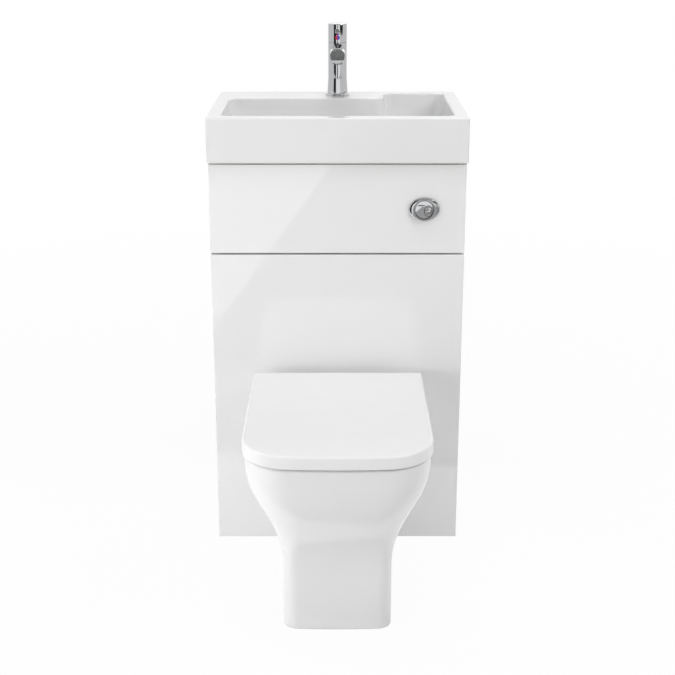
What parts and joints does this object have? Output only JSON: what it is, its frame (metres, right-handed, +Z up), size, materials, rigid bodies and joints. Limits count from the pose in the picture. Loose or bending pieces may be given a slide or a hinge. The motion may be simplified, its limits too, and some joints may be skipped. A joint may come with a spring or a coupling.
{
  "type": "combined toilet and basin unit",
  "caption": "Floor-standing cabinet that hides a cistern, with a basin and mixer tap on top, a dual flush button, and a back-to-wall pan with a hinged seat and lid in front.",
  "frame": {"origin": "on the floor, under the middle of the bounding box", "axes": "+Z up, +Y towards the wall, +X to the right of someone who faces the unit"},
  "size_m": [0.505, 0.8014, 1.043],
  "materials": {
    "lacquer": "white gloss lacquer on board",
    "melamine": "white melamine on board",
    "dowel": "bare beech",
    "ceramic": "white glaze",
    "basin": "white gloss",
    "chrome": "polished",
    "steel": "zinc plated",
    "brass": "machined",
    "seat": "white gloss thermoset",
    "white_plastic": "moulded",
    "tank": "moulded",
    "grey_plastic": "moulded",
    "black_plastic": "moulded",
    "rubber": "matt",
    "pale_rubber": "matt",
    "air_tube": "soft tube",
    "marks": "red half and blue half"
  },
  "bodies": {
    "unit": {"left_side_panel": "lacquer", "right_side_panel": "lacquer", "lower_front_panel": "lacquer", "upper_front_panel": "lacquer", "top_front_rail": "melamine", "seam_rail": "melamine", "bottom_front_rail": "melamine", "top_back_rail": "melamine", "cistern_rail": "melamine", "rail_dowels": "dowel", "panel_clips": "black_plastic", "floor_glides": "black_plastic", "cistern_screws": "steel", "basin": "basin", "waste_flange": "chrome", "waste_backnut": "brass", "trap_nut": "white_plastic", "trap_body": "white_plastic", "trap_cup": "white_plastic", "waste_pipe": "white_plastic", "tap_base_ring": "chrome", "tap_body": "chrome", "aerator": "grey_plastic", "cartridge": "grey_plastic", "cartridge_nut": "brass", "tap_stud": "steel", "clamp_nut": "steel", "button_bezel": "chrome", "button_housing": "grey_plastic", "button_backnut": "black_plastic", "flush_bellows": "rubber", "air_tubes": "air_tube", "cistern_tank": "tank", "cistern_lid": "tank", "flush_valve_cage": "grey_plastic", "cistern_backnuts": "black_plastic", "flush_pipe": "white_plastic", "flush_cone": "rubber", "fill_valve": "white_plastic", "pan": "ceramic", "bowl_and_trap": "ceramic", "pan_brackets": "steel", "pan_side_screws": "chrome", "hinge_posts": "chrome", "hinge_pins": "steel", "hinge_nuts": "black_plastic"},
    "seat": {"seat_ring": "seat", "seat_buffers": "pale_rubber"},
    "lid": {"seat_lid": "seat", "lid_buffers": "pale_rubber"},
    "tap_turn": {"tap_spindle": "brass"},
    "tap_handle": {"tap_cap": "chrome", "tap_lever": "chrome", "temperature_marks": "marks"},
    "full_button": {"full_flush_button": "chrome"},
    "half_button": {"half_flush_button": "chrome"},
    "valve_lifter": {"flush_valve_lifter": "white_plastic", "flush_valve_seal": "rubber"},
    "float": {"fill_float": "white_plastic"},
    "plug": {"waste_plug": "chrome"}
  },
  "joints": [
    {"name": "seat_hinge", "type": "hinge", "parent": "unit", "child": "seat", "pos_m": [0, 0.0125, 0.3775], "axis": [1, 0, 0], "range_deg": [-92, 0]},
    {"name": "lid_hinge", "type": "hinge", "parent": "seat", "child": "lid", "pos_m": [0, 0.0125, 0.3775], "axis": [-1, 0, 0], "range_deg": [0, 93]},
    {"name": "tap_swivel", "type": "hinge", "parent": "unit", "child": "tap_turn", "pos_m": [0, 0.3527, 0.98639], "axis": [0, 0, 1], "range_deg": [-45, 45]},
    {"name": "tap_lift", "type": "hinge", "parent": "tap_turn", "child": "tap_handle", "pos_m": [0, 0.3527, 0.98639], "axis": [-1, 0, 0], "range_deg": [0, 20]},
    {"name": "full_flush_press", "type": "slide", "parent": "unit", "child": "full_button", "axis": [0, 1, 0], "range_m": [0, 0.005], "stiffness_N_per_m": 300, "deforming": ["flush_bellows"]},
    {"name": "half_flush_press", "type": "slide", "parent": "unit", "child": "half_button", "axis": [0, 1, 0], "range_m": [0, 0.005], "stiffness_N_per_m": 300, "deforming": ["flush_bellows"]},
    {"name": "flush_valve_lift", "type": "slide", "parent": "unit", "child": "valve_lifter", "axis": [0, 0, 1], "range_m": [0, 0.02]},
    {"name": "float_rise", "type": "slide", "parent": "unit", "child": "float", "axis": [0, 0, 1], "range_m": [0, 0.06]},
    {"name": "plug_press", "type": "slide", "parent": "unit", "child": "plug", "axis": [0, 0, -1], "range_m": [0, 0.007]}
  ],
  "couplings": [
    {"joint": "flush_valve_lift", "follows": "full_flush_press", "ratio": 4}
  ]
}
